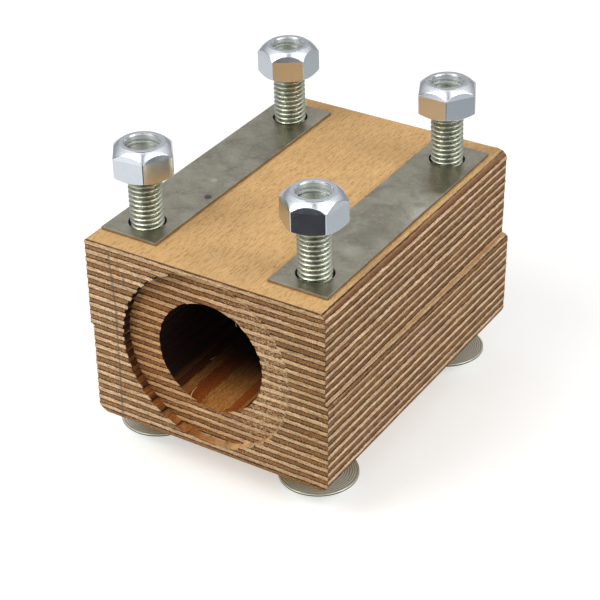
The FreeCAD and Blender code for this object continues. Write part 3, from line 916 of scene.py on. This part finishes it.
# Torn fibres on the recess floor and round its rim, scattered over guide bands, and a few longer whiskers
fibres = {
    "length": 1.0, "thickness": 0.045, "bow": 0.14, "hairSteps": 4, "hairSides": 3,
    "bands": (  # inner radius, outer radius, y, from and to in degrees, fibres per square mm
        (18.3, 27.3, -52.02, -62.0, 78.0, 0.55), (27.3, 28.3, -54.55, -66.0, 92.0, 2.6)),
    "arcStep": 5.0, "splitGap": 1.0, "bandSharp": 30.0,  # in degrees; no fibre crosses the split
    "turnLeast": (-3.1, -0.6, -0.3), "turnMost": (3.1, 0.6, 0.02),
    "seed": {"cap": 4, "base": 9},
    "whiskers": {  # three points and a radius each
        "cap": (((-16.6, -54.6, 23.4), (-16.0, -54.9, 22.6), (-15.2, -54.9, 22.4), 0.09),
                ((-16.9, -54.6, 22.9), (-16.2, -54.9, 22.3), (-15.9, -54.9, 21.7), 0.08),
                ((9.2, -52.0, 15.9), (10.2, -52.7, 15.6), (11.0, -52.5, 14.8), 0.1),
                ((9.7, -52.0, 15.7), (9.4, -52.8, 15.0), (9.9, -52.6, 14.2), 0.09),
                ((10.4, -52.0, 15.3), (10.9, -52.7, 14.9), (11.9, -52.6, 14.7), 0.08)),
        "base": (((-7.3, -51.8, -17.2), (-7.2, -52.6, -14.4), (-4.6, -52.4, -11.2), 0.14),
                 ((-11.0, -36.2, -13.6), (-10.7, -34.8, -13.4), (-10.6, -33.4, -13.8), 0.1)),
    },
    "whiskerSteps": 10, "whiskerSides": 5, "whiskerTaper": 0.75, "sharpAngle": 60.0,
}


def fibreTree():
    tree, add, given = newTree("tornFibres", ("Length", "Thickness", "Bow"), ("Seed",))
    span = add("combine", given["Length"], given["Bow"])
    middle = add("multiplyVector", span, (0.5, -1.0, 0.0))
    tip = add("multiplyVector", span, (1.0, 0.0, 0.0))
    hair = add("bezier", fibres["hairSteps"], (0.0, 0.0, 0.0), middle, tip)
    ring = add("circle", fibres["hairSides"], given["Thickness"])
    strand = add("sweep", hair, ring, True)
    density = add("namedFloat", "density")
    dots = add("scatter", given["Geometry"], density, given["Seed"])
    turn = add("randomVector", fibres["turnLeast"], fibres["turnMost"], given["Seed"])
    strands = add("instances", dots, strand, turn)
    closeTree(add, strands, given["Finish"])
    return tree


def guideBands(upper):
    # flat sectors of the recess that the fibres of one half grow on
    bm = bmesh.new()
    density = bm.faces.layers.float.new("density")
    for inner, outer, y, fromAngle, toAngle, count in fibres["bands"]:
        start, stop = (fibres["splitGap"], toAngle) if upper else (fromAngle, -fibres["splitGap"])
        steps = max(1, round((stop - start) / fibres["arcStep"]))
        rows = []
        for i in range(steps + 1):
            angle = math.radians(start + (stop - start) * i / steps)
            rows.append([bm.verts.new(Vector((r * math.cos(angle), y, r * math.sin(angle))) * mm)
                         for r in (inner, outer)])
        for (a, b), (c, d) in zip(rows, rows[1:]):
            bm.faces.new((a, b, d, c))[density] = count / mm ** 2
    return meshFrom(bm, "guideBands", fibres["bandSharp"])


def addWhisker(bm, first, middle, last, radius):
    # one curled fibre, thin at its tip
    count, sides = fibres["whiskerSteps"], fibres["whiskerSides"]
    angles = [2 * math.pi * i / sides for i in range(sides)]
    rings = []
    for i in range(count + 1):
        t = i / count
        centre = Vector(first) * (1 - t) ** 2 + Vector(middle) * 2 * t * (1 - t) + Vector(last) * t ** 2
        heading = (Vector(middle) - Vector(first)) * (1 - t) + (Vector(last) - Vector(middle)) * t
        turn = heading.to_track_quat("Z", "Y")
        thin = radius * (1 - fibres["whiskerTaper"] * t)
        rings.append([(centre + turn @ Vector((thin * math.cos(a), thin * math.sin(a), 0.0))) * mm
                      for a in angles])
    addRings(bm, rings, True)


tornTree = fibreTree()
for name, body in (("upper", "cap"), ("lower", "base")):
    piece = addObject(name + "TornFibres", guideBands(body == "cap"), fibreLook)
    bakeNodes(piece, tornTree, {
        "Length": fibres["length"] * mm, "Thickness": fibres["thickness"] * mm,
        "Bow": fibres["bow"] * fibres["length"] * mm, "Seed": fibres["seed"][body], "Finish": fibreLook,
    }, fibres["sharpAngle"])
    settle(piece, body, "laminated_beech")
    bm = bmesh.new()
    for first, middle, last, radius in fibres["whiskers"][body]:
        addWhisker(bm, first, middle, last, radius)
    bmesh.ops.recalc_face_normals(bm, faces=bm.faces)
    piece = addObject(name + "Whiskers", meshFrom(bm, name + "Whiskers", fibres["sharpAngle"]), fibreLook)
    settle(piece, body, "laminated_beech")
print("fibres scattered")

# Stage: pale floor, white surroundings, two soft lamps, and cards that only reflections see
stage = {
    "floorSize": 4000.0, "floorTone": "#e8e8e6", "floorGlow": 0.42,
    "paperGrain": 25.0, "paperFade": 0.97, "paperRoughness": 0.9,
    "cards": {  # outline on the floor and tone
        "darkCard": (((-10, -1990), (1200, -1990), (1200, -300), (330, -100), (-10, -150)), "#3a3b40"),
        "rightCard": (((120, -90), (215, -90), (215, 150), (120, 150)), "#cdd1d2"),
        "farRightCard": (((216, -90), (700, -90), (700, 150), (216, 150)), "#acb0b2"),
        "backCard": (((-60, 160), (500, 160), (500, 600), (-60, 600)), "#cdd1d0"),
        "frontLeftCard": (((-700, -255), (-12, -255), (-12, -150), (-120, -100), (-700, -100)), "#f0f2f1"),
        "leftCard": (((-700, -98), (-110, -98), (-110, 400), (-700, 400)), "#eef0f0")},
    "cardLift": 0.5,
    "worldLight": 0.55, "sky": (0.0, 0.8, 0.6),  # from the horizon up, and the tone at the horizon
    "gapAzimuth": -57.0, "gapAhead": (-0.35, -0.1),
    "gap": (0.035, 0.14, 0.25, 1.5), "sides": (0.68, 0.92, 1.0, 0.5),  # a dark room between two bright sides
    "dome": (0.3, 0.95, 0.4, 1.3),  # what metal mirrors from low to high
    "lamps": {  # place, size, power
        "leftSoftbox": ((-300.0, -460.0, 560.0), 460.0, 3.2),
        "rightSoftbox": ((620.0, 60.0, 420.0), 420.0, 1.75)},
}


def addSheet(name, outline, height, tone):
    mesh = bpy.data.meshes.new(name)
    mesh.from_pydata([Vector((x, y, height)) * mm for x, y in outline], [], [range(len(outline))])
    material, add, finish = newMaterial(name + "Paper")
    piece = addObject(name, mesh, material)
    grain = add("noise", add("coordinates"), 1 / (stage["paperGrain"] * mm))
    paper = toLinear(tone)
    faded = [c * stage["paperFade"] for c in paper[:3]] + [1.0]
    color = add("mixColor", grain, paper, faded)
    finish({"Base Color": color, "Roughness": stage["paperRoughness"], "Specular IOR Level": 0.0})
    return piece, add, finish


def addStage():
    half = stage["floorSize"] / 2
    floorZ = cadBox[0][2] / mm
    square = ((-half, -half), (half, -half), (half, half), (-half, half))
    add, finish = addSheet("floor", square, floorZ, stage["floorTone"])[1:]
    path = add("lightPath").node.outputs
    seen = add("MAXIMUM", path["Is Camera Ray"], path["Is Glossy Ray"])
    seenAll = add("MAXIMUM", seen, path["Is Transmission Ray"])
    glow = add("MULTIPLY", seenAll, stage["floorGlow"])
    finish({"Emission Strength": glow, "Emission Color": white})
    for name, (outline, tone) in stage["cards"].items():
        card = addSheet(name, outline, floorZ + stage["cardLift"], tone)[0]
        card.visible_camera = False
        card.visible_diffuse = False
        card.visible_shadow = False


def addLight():
    s = stage
    world = bpy.data.worlds.new("whiteRoom")
    scene.world = world
    world.use_nodes = True
    tree = world.node_tree
    add = partial(addNode, tree)
    way = add("coordinates", out="Generated")
    wayZ = add("split", way, out=2)
    sky = add("range", wayZ, *s["sky"])
    turn = math.radians(s["gapAzimuth"])
    ahead = add("dotProduct", way, (math.cos(turn), math.sin(turn), 0.0))
    aside = add("dotProduct", way, (-math.sin(turn), math.cos(turn), 0.0))
    away = add("ABSOLUTE", aside)
    between = add("range", away, *s["gap"])
    beyond = add("range", away, *s["sides"])
    boxes = add("MULTIPLY", between, beyond)
    towards = add("range", ahead, *s["gapAhead"])
    gap = add("mix", towards, 1.0, boxes)
    dome = add("range", wayZ, *s["dome"])
    mirrored = add("MULTIPLY", dome, gap)
    lit = add("MULTIPLY", sky, s["worldLight"])
    path = add("lightPath").node.outputs
    shiny = add("MAXIMUM", path["Is Glossy Ray"], path["Is Transmission Ray"])
    level = add("mix", shiny, lit, mirrored)
    strength = add("mix", path["Is Camera Ray"], level, 1.0)
    setInputs(tree, tree.nodes["Background"], {"Color": white, "Strength": strength})
    for name, (place, size, power) in s["lamps"].items():
        lamp = bpy.data.lights.new(name, "AREA")
        lamp.energy = power
        lamp.size = size * mm
        spot = Vector(place) * mm
        box = addObject(name, lamp)
        box.matrix_world = Matrix.Translation(spot) @ spot.to_track_quat("Z", "Y").to_matrix().to_4x4()


# Camera: worked out from the block's corners; its three axes are rows of the turn
view = {"lens": 105.945, "sensor": 36.0, "clipStart": 10.0, "eye": (238.709, -391.853, 279.604),
        "right": (0.854132, 0.520023, -0.005946), "down": (0.272297, -0.456927, -0.846801),
        "ahead": (-0.443073, 0.72166, -0.531877)}


def addCamera():
    lens = bpy.data.cameras.new("photoCamera")
    lens.lens = view["lens"]
    lens.sensor_width = view["sensor"]
    lens.clip_start = view["clipStart"] * mm
    camera = addObject("photoCamera", lens)
    turn = Matrix((view["right"], [-c for c in view["down"]], [-c for c in view["ahead"]])).transposed()
    camera.matrix_world = Matrix.Translation(Vector(view["eye"]) * mm) @ turn.to_4x4()
    scene.camera = camera


addStage()
addLight()
addCamera()
scene.view_settings.view_transform = "Standard"
print("stage, light and camera set")
